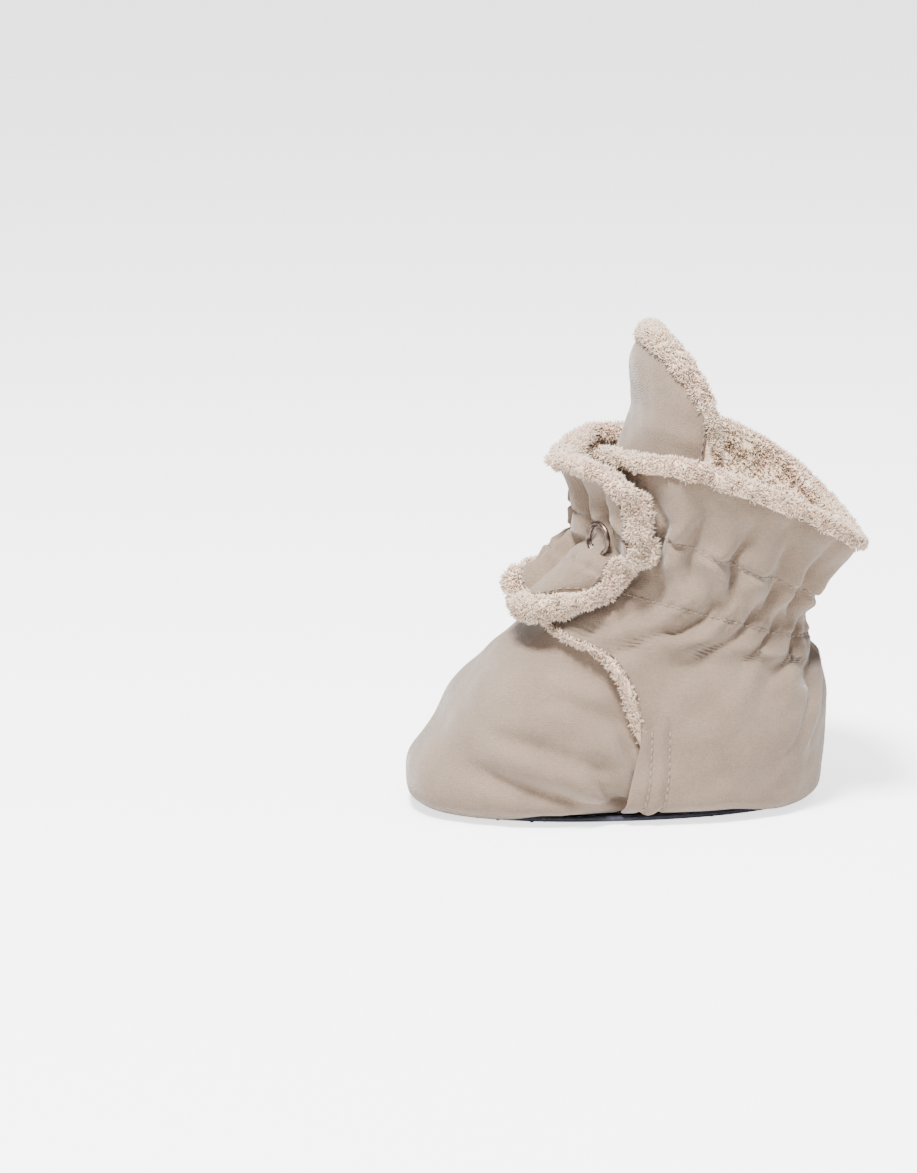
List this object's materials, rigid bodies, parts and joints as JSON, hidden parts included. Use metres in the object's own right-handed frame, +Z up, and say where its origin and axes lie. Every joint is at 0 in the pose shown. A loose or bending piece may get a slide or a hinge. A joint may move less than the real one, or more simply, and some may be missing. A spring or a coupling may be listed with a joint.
{
  "type": "baby bootie",
  "caption": "Soft ankle-high baby bootie with a plush lining, gathered elastic ankle, tall tongue, snap-over front flap and dotted grip sole.",
  "frame": {"origin": "on the ground under the middle of the bootie", "axes": "+X to the toe, +Y to the wearer's left, which is the snap side of this left bootie, +Z up"},
  "size_m": [0.121, 0.076, 0.1267],
  "materials": {
    "woven_shell": "brushed matte softshell weave, greige",
    "plush_fleece": "cream plush pile",
    "grip_sole": "navy-black fabric with raised grip dots",
    "sole_foam": "thin white foam",
    "elastic_band": "woven white elastic",
    "sewing_thread": "polyester thread",
    "dark_snap_metal": "dark bronze plating, satin"
  },
  "bodies": {
    "boot": {"outsole": "grip_sole", "sole_padding": "sole_foam", "insole_lining": "plush_fleece", "toe_shell": "woven_shell", "toe_lining": "plush_fleece", "heel_shell": "woven_shell", "heel_lining": "plush_fleece", "heel_elastic": "elastic_band", "snap_stud": "dark_snap_metal", "snap_back_ring": "dark_snap_metal", "side_thread_near_front": "sewing_thread", "side_thread_near_rear": "sewing_thread", "side_thread_far_front": "sewing_thread", "side_thread_far_rear": "sewing_thread", "gather_thread_heel_lower": "sewing_thread", "gather_thread_heel_upper": "sewing_thread"},
    "flap": {"flap_shell": "woven_shell", "flap_lining": "plush_fleece", "flap_elastic": "elastic_band", "snap_ring": "dark_snap_metal", "snap_socket": "dark_snap_metal", "gather_thread_flap_lower": "sewing_thread", "gather_thread_flap_upper": "sewing_thread"},
    "tongue": {"tongue_shell": "woven_shell", "tongue_lining": "plush_fleece"}
  },
  "joints": [
    {"name": "flap_swing", "type": "hinge", "parent": "boot", "child": "flap", "pos_m": [0.0042, -0.0278, 0.07], "axis": [0, 0, -1], "range_deg": [0, 85]},
    {"name": "tongue_tilt", "type": "hinge", "parent": "boot", "child": "tongue", "pos_m": [0.01, 0, 0.0642], "axis": [0, -1, 0], "range_deg": [0, 20]}
  ]
}
